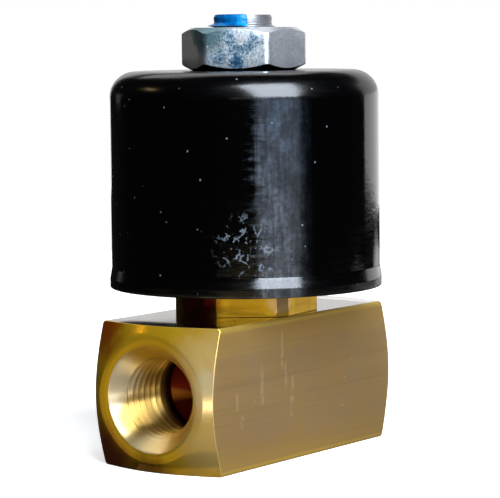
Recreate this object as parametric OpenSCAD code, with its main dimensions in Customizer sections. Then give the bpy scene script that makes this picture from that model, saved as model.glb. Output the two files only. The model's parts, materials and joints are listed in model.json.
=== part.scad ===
// Direct-acting, normally closed solenoid valve: a brass body with two threaded ports,
// and a coil in a steel can that a nut holds on the stem.
// X runs along the flow from the inlet at -X, Z runs up the stem,
// and the origin is under the body on the stem's axis.

/* [Valve body] */
// Width and height of the square bar
bar_w = 22; // [21.5:0.5:25]
// Length of the bar between its two port faces
bar_l = 49; // [48:0.5:56]
// Radius on the bar's four long edges
bar_edge_r = 0.5; // [0.3:0.1:1]
// Radius of the flat ring round each port
face_r = 9.6; // [9:0.1:10]
// Slope of the turned cone outside that ring, in degrees
face_slope = 25; // [15:1:32]

/* [Ports] */
// Bore of a port at the crests of its thread
port_d = 11.44; // [11:0.02:12]
// Diameter of the countersink at the port face
mouth_d = 16; // [14:0.5:17]
// Depth of the countersink
mouth_depth = 2.8; // [2:0.1:3.5]
// Depth of the full port bore
port_depth = 12.5; // [11.5:0.5:12.5]
// Point angle of the drills
drill_angle = 118; // [110:1:130]

/* [Flow path] */
// Diameter of the chamber round the seat, at the crests of its thread
chamber_d = 14.92; // [14.6:0.02:15.1]
// Height of the chamber's floor
chamber_z = 12.6; // [12:0.1:12.8]
// Height of the seat's rim
seat_z = 14; // [13.8:0.1:14.2]
// Diameter of the orifice
orifice_d = 2.5; // [1.5:0.1:3]
// Diameter of the two cross drillings
passage_d = 3.2; // [2.4:0.1:3.4]

/* [Bonnet and stem] */
// Width across the flats of the bonnet
bonnet_af = 20; // [19.5:0.5:20.5]
// Diameter that the hexagon's corners are turned down to
bonnet_corner_d = 22; // [21.4:0.2:22]
// Height of the bonnet's hexagon
bonnet_h = 4.6; // [4.2:0.1:5]
// Outer diameter of the guide tube
tube_d = 11; // [10.8:0.1:11.1]
// Wall of the guide tube
tube_wall = 0.5; // [0.4:0.05:0.6]
// Diameter of the stud at the top of the stem
stud_d = 10; // [9.6:0.1:10]
// Height of the stud's tip above the base
stud_top = 67.8; // [67.6:0.1:70]
// Length of the taper that leads onto the stud's thread
stud_lead = 1.9; // [0.8:0.1:2.2]

/* [Plunger] */
// Travel of the plunger from the seat to the core
stroke = 2; // [1:0.1:2.4]
// Length of the plunger
plunger_l = 22.4; // [21:0.1:23]
// Width of the flow grooves along the plunger
groove_w = 1.4; // [1:0.1:1.8]
// Diameter of the rubber seal
seal_d = 6.4; // [5.6:0.1:6.8]

/* [Spring] */
// Outer diameter of the return spring
spring_d = 4; // [3.4:0.1:4.2]
// Diameter of its wire
spring_wire = 0.5; // [0.4:0.05:0.6]
// Number of its turns
spring_turns = 7; // [5:1:9]

/* [Coil can] */
// Outer diameter of the can
can_d = 41.6; // [41:0.2:43]
// Height of the can's rim above the base
can_rim_z = 26; // [25.8:0.1:26.2]
// Height of the can's top above the base
can_top_z = 59.3; // [58.8:0.1:60]
// Thickness of the can's wall
can_wall = 1.2; // [1:0.1:1.3]
// Radius of the can's top edge
can_edge_r = 4; // [3.5:0.1:5]
// How far the rim's bead stands out
bead = 0.3; // [0.1:0.05:0.4]

/* [Coil] */
// Outer diameter of the bobbin's flanges
bobbin_d = 38; // [37:0.2:38.4]
// Outer diameter of the copper winding
winding_d = 34.4; // [33:0.2:34.8]

/* [Nut] */
// Width across the flats of the nut
nut_af = 17; // [16:0.5:18]
// Height of the nut
nut_h = 6.6; // [5:0.1:7]

/* [Lead exit] */
// Diameter of the hole in the can for the lead grommet
grommet_hole_d = 7; // [6:0.5:8]
// Height of the grommet above the base
grommet_z = 35; // [34:0.5:44]
// Diameter of the grommet's two lead holes
lead_hole_d = 1.8; // [1.4:0.1:2]

/* [Hidden] */
$fn = 96;

fit_gap = 0.02;
running_gap = 0.05;
turn_gap = 0.35;
over = 1;

port_z = bar_w / 2;
port_r = port_d / 2;
mouth_r = mouth_d / 2;
drill_half = drill_angle / 2;
passage_in_z = port_z + 3.6;
passage_out_z = port_z - 2.5;
passage_reach = 2.2;

tube_r = tube_d / 2;
bore_r = tube_r - tube_wall;
spigot_r = chamber_d / 2 - fit_gap;
spigot_z = 16.5;
bonnet_top = bar_w + bonnet_h;
bonnet_turn = 6;
bonnet_edge = 0.4;
o_ring_r = 0.75;
o_ring_mid_r = chamber_d / 2 + o_ring_r + 0.1;
o_ring_seat_r = o_ring_mid_r + o_ring_r + 0.1;
o_ring_seat_h = 2 * o_ring_r + 0.1;

seal_h = 2;
seal_lip = 0.6;
seal_r = seal_d / 2;
retainer_r = seal_r + 0.7;
retainer_h = 0.7;
plunger_r = bore_r - running_gap;
plunger_z = seat_z + seal_lip;
plunger_top = plunger_z + plunger_l;
core_z = plunger_top + stroke + fit_gap;
core_skirt_top = 50.5;
core_shoulder = can_top_z - 2.2;
stud_r = stud_d / 2;
stud_tip_r = stud_r - 0.4 * stud_lead;
spring_pocket_r = spring_d / 2 + 0.25;
spring_pocket_h = 10;
spring_z = plunger_top - spring_pocket_h;
spring_h = core_z - spring_z;
ring_in_r = 3;
ring_out_r = 3.9;
ring_h = 1.2;
groove_count = 4;

can_r = can_d / 2;
can_in_r = can_r - can_wall;
can_top_t = 1.5;
can_roof = can_top_z - can_top_t;
can_hole_r = stud_r + 0.3;
plate_z = bonnet_top;
plate_h = 2.4;
insulator_h = 0.3;
bobbin_z = plate_z + plate_h + insulator_h;
wave_h = 1.9;
bobbin_top = can_roof - wave_h - insulator_h;
flange_t = 1.2;
sleeve_in_r = tube_r + turn_gap;
sleeve_wall = 1.05;
sleeve_h = 8;
bobbin_in_r = sleeve_in_r + sleeve_wall + fit_gap;
bobbin_wall = 0.95;
bobbin_out_r = bobbin_in_r + bobbin_wall;
winding_r = winding_d / 2;
winding_gap = 0.1;
tape_t = 0.4;
tape_gap = 0.02;
wave_in_r = 8;
wave_out_r = 12;
wave_t = 0.5;
wave_count = 3;
wave_steps = 72;
washer_out_r = 16;

tag_x = winding_r + tape_t + 0.55;
tag_t = 0.6;
tag_w = 1.8;
tag_h = 6.5;
tag_y = 4;
tail_r = 0.3;
tail_z = bobbin_z + flange_t + 3.5;

nut_r = nut_af / 2;
nut_turn = -2.2;
nut_crown_r = nut_r * 0.965;
nut_crown_slope = 30;
nut_bore_r = stud_r + running_gap;
nut_top = can_top_z + nut_h;

grommet_r = grommet_hole_d / 2;
grommet_lip = 1.2;
grommet_lip_h = 1.2;
grommet_x = sqrt(can_r * can_r - pow(grommet_r + grommet_lip, 2));
lead_spread = 1.5;

paint_from = 105;
paint_to = 219;
paint_t = 0.15;
paint_foot = 0.4;
paint_z = nut_top + 0.1;

// Points of an arc about (cx, cy), from angle a0 to a1, in n steps
function arc(cx, cy, r, a0, a1, n) =
    [for (i = [0:n]) let (a = a0 + (a1 - a0) * i / n) [cx + r * cos(a), cy + r * sin(a)]];

// Corner radius of a hexagon from its width across the flats
function hex_r(af) = af / 2 / cos(30);

// A ring about Z between two radii
module ring(r_in, r_out, h) {
    difference() {
        cylinder(r = r_out, h = h);
        translate([0, 0, -over]) cylinder(r = r_in, h = h + 2 * over);
    }
}

// A square outline with rounded corners, centred
module soft_square(w, r) {
    inner = w - 2 * r;
    square([w, inner], center = true);
    square([inner, w], center = true);
    for (x = [-inner / 2, inner / 2], y = [-inner / 2, inner / 2]) translate([x, y]) circle(r = r, $fn = 32);
}

// A hexagonal prism with turned corners at both ends
module turned_hex(af, h, crown_r, slope) {
    corner = hex_r(af);
    drop = (corner + over - crown_r) * tan(slope);
    intersection() {
        cylinder(r = corner, h = h, $fn = 6);
        rotate_extrude() polygon([
            [0, 0], [crown_r, 0], [corner + over, drop],
            [corner + over, h - drop], [crown_r, h], [0, h]
        ]);
    }
}

// A port's countersink, bore and drill point, cut along +X from the face at x = 0
module port_cut() {
    point_h = port_r / tan(drill_half);
    rotate([0, 90, 0]) rotate_extrude() polygon([
        [0, -over], [mouth_r, -over], [mouth_r, 0], [port_r, mouth_depth],
        [port_r, port_depth], [0, port_depth + point_h]
    ]);
}

// The bar with a turned cone at each end
module bar_blank() {
    reach = bar_w;
    drop = (reach - face_r) * tan(face_slope);
    half = bar_l / 2;
    intersection() {
        rotate([90, 0, 90]) translate([0, port_z, -half]) linear_extrude(bar_l) soft_square(bar_w, bar_edge_r);
        translate([0, 0, port_z]) rotate([0, 90, 0]) rotate_extrude() polygon([
            [0, -half], [face_r, -half], [reach, -half + drop],
            [reach, half - drop], [face_r, half], [0, half]
        ]);
    }
}

module valve_body() color("goldenrod") {
    drill_end = bar_l / 2 - port_depth + passage_reach;
    seat_rim_r = orifice_d / 2 + 0.6;
    seat_foot_r = seat_rim_r + (seat_z - chamber_z);
    difference() {
        union() {
            difference() {
                bar_blank();
                translate([0, 0, chamber_z]) cylinder(d = chamber_d, h = bar_w);
                translate([0, 0, bar_w - o_ring_seat_h]) cylinder(r = o_ring_seat_r, h = bar_w);
            }
            translate([0, 0, chamber_z - over]) cylinder(r = seat_foot_r, h = over);
            translate([0, 0, chamber_z]) cylinder(r1 = seat_foot_r, r2 = seat_rim_r, h = seat_z - chamber_z);
        }
        translate([-bar_l / 2, 0, port_z]) port_cut();
        translate([bar_l / 2, 0, port_z]) mirror([1, 0, 0]) port_cut();
        translate([0, 0, passage_out_z]) cylinder(d = orifice_d, h = bar_w);
        translate([0, 0, passage_out_z]) rotate([0, 90, 0]) cylinder(d = passage_d, h = drill_end);
        translate([-drill_end, 0, passage_in_z]) rotate([0, 90, 0])
            cylinder(d = passage_d, h = drill_end - seat_rim_r - passage_d);
    }
}

module bonnet() color("gold") {
    corner_r = bonnet_corner_d / 2;
    difference() {
        union() {
            translate([0, 0, bar_w]) rotate([0, 0, bonnet_turn]) intersection() {
                cylinder(r = hex_r(bonnet_af), h = bonnet_h, $fn = 6);
                rotate_extrude() polygon([
                    [0, 0], [corner_r, 0], [corner_r, bonnet_h - bonnet_edge],
                    [corner_r - 2 * bonnet_edge, bonnet_h], [0, bonnet_h]
                ]);
            }
            translate([0, 0, spigot_z]) cylinder(r = spigot_r, h = bar_w + over - spigot_z);
        }
        translate([0, 0, spigot_z - over]) cylinder(r = tube_r + fit_gap, h = bar_w);
    }
}

module bonnet_o_ring() color("dimgray") {
    translate([0, 0, bar_w - o_ring_r - fit_gap]) rotate_extrude()
        translate([o_ring_mid_r, 0]) circle(r = o_ring_r);
}

module guide_tube() color("silver") {
    translate([0, 0, spigot_z]) ring(bore_r, tube_r, core_skirt_top - spigot_z);
}

module stop_core() color("lightgray") {
    difference() {
        rotate_extrude() polygon([
            [0, core_z], [bore_r - fit_gap, core_z], [bore_r - fit_gap, core_skirt_top],
            [tube_r, core_skirt_top], [tube_r, core_shoulder], [stud_r, core_shoulder],
            [stud_r, stud_top - stud_lead], [stud_tip_r, stud_top], [0, stud_top]
        ]);
        translate([0, 0, core_z - over]) ring(ring_in_r - fit_gap, ring_out_r + fit_gap, ring_h + over);
    }
}

module shading_ring() color("peru") {
    translate([0, 0, core_z]) ring(ring_in_r, ring_out_r, ring_h);
}

module plunger() color("gainsboro") {
    difference() {
        translate([0, 0, plunger_z]) cylinder(r = plunger_r, h = plunger_l);
        translate([0, 0, plunger_z - over]) cylinder(r = retainer_r, h = retainer_h + over);
        translate([0, 0, plunger_z - over]) cylinder(r = seal_r, h = seal_h - seal_lip + over);
        translate([0, 0, spring_z]) cylinder(r = spring_pocket_r, h = plunger_l);
        for (i = [0:groove_count - 1]) rotate([0, 0, 45 + 360 * i / groove_count])
            translate([plunger_r, 0, plunger_z - over]) cylinder(d = groove_w, h = plunger_l + 2 * over);
    }
}

module plunger_seal() color("black") {
    translate([0, 0, seat_z]) cylinder(r = seal_r - fit_gap, h = seal_h - fit_gap);
}

module seal_retainer() color("khaki") {
    translate([0, 0, plunger_z]) ring(seal_r, retainer_r - fit_gap, retainer_h - fit_gap);
}

// A closed coil spring, swept as a tube of wire_sides round a helix
module plunger_spring() color("silver") {
    wire_sides = 8;
    turn_steps = 24;
    coil_r = (spring_d - spring_wire) / 2;
    wire_r = spring_wire / 2;
    steps = spring_turns * turn_steps;
    rise = spring_h - 2 * wire_r - 2 * fit_gap;
    points = [for (i = [0:steps], k = [0:wire_sides - 1])
        let (a = 360 * i / turn_steps, b = 360 * k / wire_sides, r = coil_r + wire_r * cos(b))
        [r * cos(a), r * sin(a), wire_r + rise * i / steps + wire_r * sin(b)]];
    sides = [for (i = [0:steps - 1], k = [0:wire_sides - 1])
        let (n = (k + 1) % wire_sides, p = i * wire_sides)
        [p + k, p + wire_sides + k, p + wire_sides + n, p + n]];
    first_cap = [for (k = [0:wire_sides - 1]) k];
    last_cap = [for (k = [0:wire_sides - 1]) steps * wire_sides + wire_sides - 1 - k];
    translate([0, 0, spring_z + fit_gap]) polyhedron(points, concat(sides, [first_cap, last_cap]));
}

module flux_plate() color("slategray") {
    translate([0, 0, plate_z]) ring(sleeve_in_r, can_in_r - fit_gap, plate_h);
}

module flux_sleeve() color("slategray") {
    translate([0, 0, plate_z + plate_h]) ring(sleeve_in_r, sleeve_in_r + sleeve_wall, sleeve_h);
}

module coil_bobbin() color("ivory") {
    bobbin_r = bobbin_d / 2;
    difference() {
        union() {
            translate([0, 0, bobbin_z]) cylinder(r = bobbin_r, h = flange_t);
            translate([0, 0, bobbin_z]) cylinder(r = bobbin_out_r, h = bobbin_top - bobbin_z);
            translate([0, 0, bobbin_top - flange_t]) cylinder(r = bobbin_r, h = flange_t);
        }
        translate([0, 0, bobbin_z - over]) cylinder(r = bobbin_in_r, h = bobbin_top - bobbin_z + 2 * over);
    }
}

module coil_winding() color("chocolate") {
    low = bobbin_z + flange_t + winding_gap;
    high = bobbin_top - flange_t - winding_gap;
    difference() {
        union() {
            translate([0, 0, low]) cylinder(r = winding_r, h = high - low);
            for (y = [-tag_y, tag_y]) translate([bobbin_out_r + over, y, tail_z]) rotate([0, 90, 0])
                cylinder(r = tail_r, h = tag_x - tag_t / 2 - bobbin_out_r - over, $fn = 24);
        }
        translate([0, 0, low - over]) cylinder(r = bobbin_out_r + fit_gap, h = high - low + 2 * over);
    }
}

module winding_tape() color("gold") {
    low = bobbin_z + flange_t + winding_gap;
    high = bobbin_top - flange_t - winding_gap;
    difference() {
        translate([0, 0, low]) ring(winding_r + tape_gap, winding_r + tape_t, high - low);
        for (y = [-tag_y, tag_y]) translate([bobbin_out_r, y, tail_z]) rotate([0, 90, 0])
            cylinder(r = tail_r + fit_gap, h = winding_d, $fn = 24);
    }
}

module terminal_tags() color("khaki") {
    for (y = [-tag_y, tag_y]) translate([tag_x - tag_t / 2, y - tag_w / 2, bobbin_z + flange_t])
        cube([tag_t, tag_w, tag_h]);
}

module insulator_washers() color("saddlebrown") {
    for (z = [bobbin_z - insulator_h, bobbin_top]) translate([0, 0, z])
        ring(bobbin_in_r, washer_out_r, insulator_h);
}

// A ring washer bent into even waves round its axis
module wave_washer() color("silver") {
    rise = (wave_h - wave_t) / 2;
    base = bobbin_top + insulator_h + rise;
    corners = [[wave_in_r, 0], [wave_out_r, 0], [wave_out_r, wave_t], [wave_in_r, wave_t]];
    points = [for (i = [0:wave_steps - 1], c = corners)
        let (a = 360 * i / wave_steps, lift = rise * cos(wave_count * a))
        [c[0] * cos(a), c[0] * sin(a), base + lift + c[1]]];
    faces = [for (i = [0:wave_steps - 1], k = [0:3])
        let (n = (k + 1) % 4, p = 4 * i, q = 4 * ((i + 1) % wave_steps))
        [p + n, q + n, q + k, p + k]];
    polyhedron(points, faces);
}

module coil_can() color("black") {
    bead_r = can_r + bead;
    lip = 0.2;
    inner_edge_r = can_edge_r - can_wall;
    difference() {
        rotate_extrude() polygon(concat(
            [[can_in_r, can_rim_z], [bead_r - lip, can_rim_z], [bead_r, can_rim_z + lip]],
            [[bead_r, can_rim_z + 1.4], [can_r, can_rim_z + 3.1]],
            arc(can_r - can_edge_r, can_top_z - can_edge_r, can_edge_r, 0, 90, 12),
            [[can_hole_r, can_top_z], [can_hole_r, can_roof]],
            arc(can_in_r - inner_edge_r, can_roof - inner_edge_r, inner_edge_r, 90, 0, 8)
        ));
        translate([0, 0, grommet_z]) rotate([0, 90, 0]) cylinder(r = grommet_r, h = can_d);
    }
}

module lead_grommet() color("dimgray") {
    outer = can_r + grommet_lip_h;
    inner = can_in_r - 1;
    difference() {
        union() {
            translate([inner, 0, grommet_z]) rotate([0, 90, 0])
                cylinder(r = grommet_r - fit_gap, h = outer - inner);
            difference() {
                translate([grommet_x, 0, grommet_z]) rotate([0, 90, 0])
                    cylinder(r = grommet_r + grommet_lip, h = outer - grommet_x);
                translate([0, 0, can_rim_z]) cylinder(r = can_r + fit_gap, h = can_top_z - can_rim_z);
            }
        }
        for (y = [-lead_spread, lead_spread]) translate([inner - over, y, grommet_z]) rotate([0, 90, 0])
            cylinder(d = lead_hole_d, h = outer - inner + 2 * over, $fn = 32);
    }
}

module retaining_nut() color("lightsteelblue") {
    sink = 0.5;
    difference() {
        translate([0, 0, can_top_z]) rotate([0, 0, nut_turn])
            turned_hex(nut_af, nut_h, nut_crown_r, nut_crown_slope);
        translate([0, 0, can_top_z - over]) cylinder(r = nut_bore_r, h = nut_h + 2 * over);
        translate([0, 0, nut_top - sink])
            cylinder(r1 = nut_bore_r, r2 = nut_bore_r + sink + over, h = sink + over);
    }
}

// Thread-lock paint on one side of the stud's tip, clear of the nut
module thread_lock_paint() color("dodgerblue") {
    foot_r = stud_tip_r + (stud_top - paint_z) * (stud_r - stud_tip_r) / stud_lead;
    rotate([0, 0, paint_from]) rotate_extrude(angle = paint_to - paint_from) polygon([
        [foot_r + fit_gap, paint_z], [foot_r + paint_foot, paint_z], [foot_r + paint_t, paint_z + paint_foot],
        [stud_tip_r + paint_t, stud_top], [stud_tip_r + fit_gap, stud_top]
    ]);
}

valve_body();
bonnet();
bonnet_o_ring();
guide_tube();
stop_core();
shading_ring();
plunger();
plunger_seal();
seal_retainer();
plunger_spring();
flux_plate();
flux_sleeve();
coil_bobbin();
coil_winding();
winding_tape();
terminal_tags();
insulator_washers();
wave_washer();
coil_can();
lead_grommet();
retaining_nut();
thread_lock_paint();
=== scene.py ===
"""Looks of a direct-acting solenoid valve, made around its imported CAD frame.

Sizes are in millimetres, as on a drawing, and build() turns them into metres.
Angles are in degrees, counter-clockwise from +X about Z, or from +Y about X.
"""

import json
import math

import bmesh
import bpy
from mathutils import Matrix, Vector, noise

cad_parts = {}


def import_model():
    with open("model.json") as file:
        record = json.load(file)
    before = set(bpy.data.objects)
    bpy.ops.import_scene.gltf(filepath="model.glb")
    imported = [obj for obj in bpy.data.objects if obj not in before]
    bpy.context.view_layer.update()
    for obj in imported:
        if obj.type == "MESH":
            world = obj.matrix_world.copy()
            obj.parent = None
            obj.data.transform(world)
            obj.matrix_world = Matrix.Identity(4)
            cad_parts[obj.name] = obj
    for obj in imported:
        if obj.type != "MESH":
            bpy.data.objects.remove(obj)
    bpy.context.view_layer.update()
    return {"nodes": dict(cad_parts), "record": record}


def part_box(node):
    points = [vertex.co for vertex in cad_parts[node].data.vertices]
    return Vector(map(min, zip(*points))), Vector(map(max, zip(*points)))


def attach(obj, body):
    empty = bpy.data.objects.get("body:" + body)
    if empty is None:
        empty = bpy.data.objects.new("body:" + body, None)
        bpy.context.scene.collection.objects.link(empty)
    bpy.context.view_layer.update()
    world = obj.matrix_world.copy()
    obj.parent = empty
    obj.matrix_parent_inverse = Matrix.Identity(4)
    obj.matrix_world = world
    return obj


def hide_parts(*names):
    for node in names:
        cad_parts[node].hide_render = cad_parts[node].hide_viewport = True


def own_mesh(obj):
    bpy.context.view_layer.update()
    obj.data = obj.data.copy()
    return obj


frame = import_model()

MM = 0.001


def mm_box(node):
    """The lowest and highest corner of a CAD node, in millimetres."""
    low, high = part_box(node)
    return low / MM, high / MM


# ---- sizes

body_high = mm_box("valve_body")[1]
bonnet_low, bonnet_high = mm_box("bonnet")
can_low, can_high = mm_box("coil_can")
nut_low, nut_high = mm_box("retaining_nut")
core_low, core_high = mm_box("stop_core")
spring_low, spring_high = mm_box("plunger_spring")
tape_low, tape_high = mm_box("winding_tape")
tags_low = mm_box("terminal_tags")[0]

inlet = next(m for m in frame["record"]["mounts"] if m["name"] == "inlet_port")
PORT_Z = inlet["pos_m"][2] / MM
PORT_R = inlet["dims"]["r_mm"]

BAR_HALF = body_high.y
END_X = body_high.x
BAR_TOP = body_high.z
BAR_EDGE = 0.5
FACE_R, FACE_SLOPE = 9.6, 25
MOUTH_R, MOUTH_DEPTH = 8.0, 2.8
PORT_DEPTH, DRILL_HALF = 12.5, 59
PIPE_PITCH, PIPE_DEPTH, THREAD_END = 1.337, 0.6, 10.4

CHAMBER_R, CHAMBER_Z = 7.46, 12.6
O_SEAT_R, O_SEAT_H = 9.16, 1.6
SEAT_RIM_R, SEAT_FOOT_R, SEAT_Z = 1.85, 3.25, 14.0
ORIFICE_R, PASSAGE_R = 1.25, 1.6
PASSAGE_IN_Z, PASSAGE_OUT_Z = 14.6, 8.5

BONNET_AF, BONNET_TURN, BONNET_CORNER_R = 20.0, 6, 11.0
BONNET_CROWN, BONNET_SLOPE = 10.2, 26.6
BONNET_BORE, SPIGOT_R = 5.52, 7.44

CAN_R, CAN_IN_R = 20.8, 19.6
CAN_EDGE, CAN_TOP_T, CAN_BEAD = 4.0, 1.5, 0.3
CAN_HOLE = 5.3
GROMMET_R, GROMMET_Z = 3.5, 35.0

NUT_AF, NUT_TURN, NUT_CORNER = 17.0, -2.2, 1.0
NUT_CROWN, NUT_SLOPE = 8.2, 30
NUT_BORE, NUT_SINK = 5.05, 0.5

STUD_R, STUD_LEAD = 5.0, 1.9
STUD_PLAIN, STUD_NECK_R = 1.2, 4.42
STUD_PITCH, STUD_DEPTH = 0.75, 0.34
CORE_R, CORE_SKIRT_Z, CORE_NECK_R = 4.98, 50.5, 5.5
SHADING_IN, SHADING_OUT, SHADING_H = 2.98, 3.92, 1.2

WINDING_IN_R, WINDING_R, WIRE = 7.9, 17.2, 0.46
TAIL_R, TAIL_Y = 0.3, 4.0

CAMERA_TURN, CAMERA_RISE, CAMERA_ROLL = -54.218, 5.044, 0.614
CAMERA_DISTANCE, CAMERA_SIDE, CAMERA_AIM_Z = 373.98, 0.66, 31.56
CAMERA_LENS = 173.13
FLOOR_REACH, FLOOR_BACK, FLOOR_Z = 300, 58, -0.02


# ---- mesh tools


def cos(degrees):
    return math.cos(math.radians(degrees))


def sin(degrees):
    return math.sin(math.radians(degrees))


def tan(degrees):
    return math.tan(math.radians(degrees))


def ease(x, low, high):
    """0 below low, 1 above high, and a smooth step between them."""
    t = min(1.0, max(0.0, (x - low) / (high - low)))
    return t * t * (3 - 2 * t)


def spread(first, last, steps):
    """Evenly spaced values from first to last, both included."""
    return [first + (last - first) * i / steps for i in range(steps + 1)]


def add_object(name, data):
    made = bpy.data.objects.new(name, data)
    bpy.context.scene.collection.objects.link(made)
    return made


def build(name, points, faces, finishes=None):
    """A mesh object from points in millimetres, with its faces turned outwards."""
    mesh = bpy.data.meshes.new(name)
    mesh.from_pydata([[c * MM for c in p] for p in points], [], faces)
    if finishes:
        mesh.polygons.foreach_set("material_index", finishes)
    bm = bmesh.new()
    bm.from_mesh(mesh)
    bmesh.ops.recalc_face_normals(bm, faces=bm.faces)
    bm.to_mesh(mesh)
    bm.free()
    return add_object(name, mesh)


def skin(name, rows, tips=(), finishes=None):
    """A closed mesh over rings of points. tips are the two points that close its ends.

    With no tips, the last ring joins the first.
    """
    count = len(rows[0])
    points = [p for row in rows for p in row]
    pairs = [(i, i + 1) for i in range(len(rows) - 1)]
    if not tips:
        pairs.append((len(rows) - 1, 0))
    faces, marks = [], []
    for low, high in pairs:
        for i in range(count):
            j = (i + 1) % count
            faces.append((low * count + i, low * count + j, high * count + j, high * count + i))
            marks.append(finishes[low] if finishes else 0)
    for tip, row in zip(tips, (0, len(rows) - 1)):
        points.append(tip)
        for i in range(count):
            j = (i + 1) % count
            faces.append((row * count + j, row * count + i, len(points) - 1))
            marks.append(finishes[row] if finishes else 0)
    return build(name, points, faces, marks)


def round_angles(step, corners=(), spread=3.0, extra=6):
    """Angles round one turn, with extra ones close to each corner."""
    angles = {round(i * step, 4) for i in range(int(360 / step))}
    for corner in corners:
        for k in range(-extra, extra + 1):
            angles.add(round((corner + spread * k / extra) % 360, 4))
    return sorted(angles)


def polygon_r(angle, sides, half_width, corner_r, turn):
    """Distance from the axis to a regular polygon with rounded corners, the first of them at turn."""
    half = 180 / sides
    off = (angle - turn) % (2 * half)
    off = min(off, 2 * half - off)
    centre = (half_width - corner_r) / cos(half)
    meets = math.degrees(math.atan2(corner_r * sin(half), centre + corner_r * cos(half)))
    if off >= meets:
        return half_width / cos(half - off)
    return centre * cos(off) + math.sqrt(corner_r**2 - (centre * sin(off)) ** 2)


def value_at(value, angle):
    return value(angle) if callable(value) else value


def ring_z(angles, radius, z):
    """One ring about the Z axis. radius and z are numbers, or functions of the angle."""
    return [
        (value_at(radius, a) * cos(a), value_at(radius, a) * sin(a), value_at(z, a))
        for a in angles
    ]


def ring_x(angles, radius, x):
    """One ring about the ports' axis."""
    return [
        (value_at(x, a), value_at(radius, a) * cos(a), PORT_Z + value_at(radius, a) * sin(a))
        for a in angles
    ]


def groove(angle, along, pitch):
    """A right-hand thread: 0 on its crest and 1 at its root."""
    return 0.5 - 0.5 * math.cos(2 * math.pi * (along / pitch - angle / 360))


def lathe(name, profile, step=2.0, tips=(), finishes=None):
    """A turned piece about Z from (radius, z) points."""
    angles = round_angles(step)
    return skin(name, [ring_z(angles, r, z) for r, z in profile], tips, finishes)


def rod(name, start, end, z, radius, step):
    """A plain cylinder along X, to cut holes with."""
    angles = round_angles(step)
    rows = [[(x, radius * cos(a), z + radius * sin(a)) for a in angles] for x in (start, end)]
    return skin(name, rows, ((start, 0, z), (end, 0, z)))


def arc(cr, cz, radius, start, end, steps):
    """(radius, z) points on an arc about (cr, cz)."""
    return [(cr + radius * cos(t), cz + radius * sin(t)) for t in spread(start, end, steps)]


def smooth(obj, angle=32):
    obj.data.shade_smooth()
    obj.data.set_sharp_from_angle(angle=math.radians(angle))
    return obj


def cut(obj, cutters):
    """Subtracts the cutters from obj and keeps the result as its mesh."""
    for cutter in cutters:
        step = obj.modifiers.new("cut", "BOOLEAN")
        step.operation, step.solver, step.object = "DIFFERENCE", "EXACT", cutter
    bpy.context.view_layer.update()
    result = bpy.data.meshes.new_from_object(
        obj.evaluated_get(bpy.context.evaluated_depsgraph_get())
    )
    obj.modifiers.clear()
    obj.data = result
    for cutter in cutters:
        bpy.data.objects.remove(cutter)


def tube(name, path, radius, sides=10):
    """A round wire along a path of points, closed at both ends."""
    path = [Vector(p) for p in path]
    rows = []
    for i, p in enumerate(path):
        along = (path[min(i + 1, len(path) - 1)] - path[max(i - 1, 0)]).normalized()
        side = along.cross(Vector((0, 0, 1))).normalized()
        up = side.cross(along)
        rows.append([
            p + (side * cos(360 * k / sides) + up * sin(360 * k / sides)) * radius
            for k in range(sides)
        ])
    return skin(name, rows, tips=(path[0], path[-1]))


def join(name, objects):
    """Several meshes as one object."""
    bm = bmesh.new()
    for o in objects:
        bm.from_mesh(o.data)
        bpy.data.objects.remove(o)
    mesh = bpy.data.meshes.new(name)
    bm.to_mesh(mesh)
    bm.free()
    return add_object(name, mesh)


# ---- material tools


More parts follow.
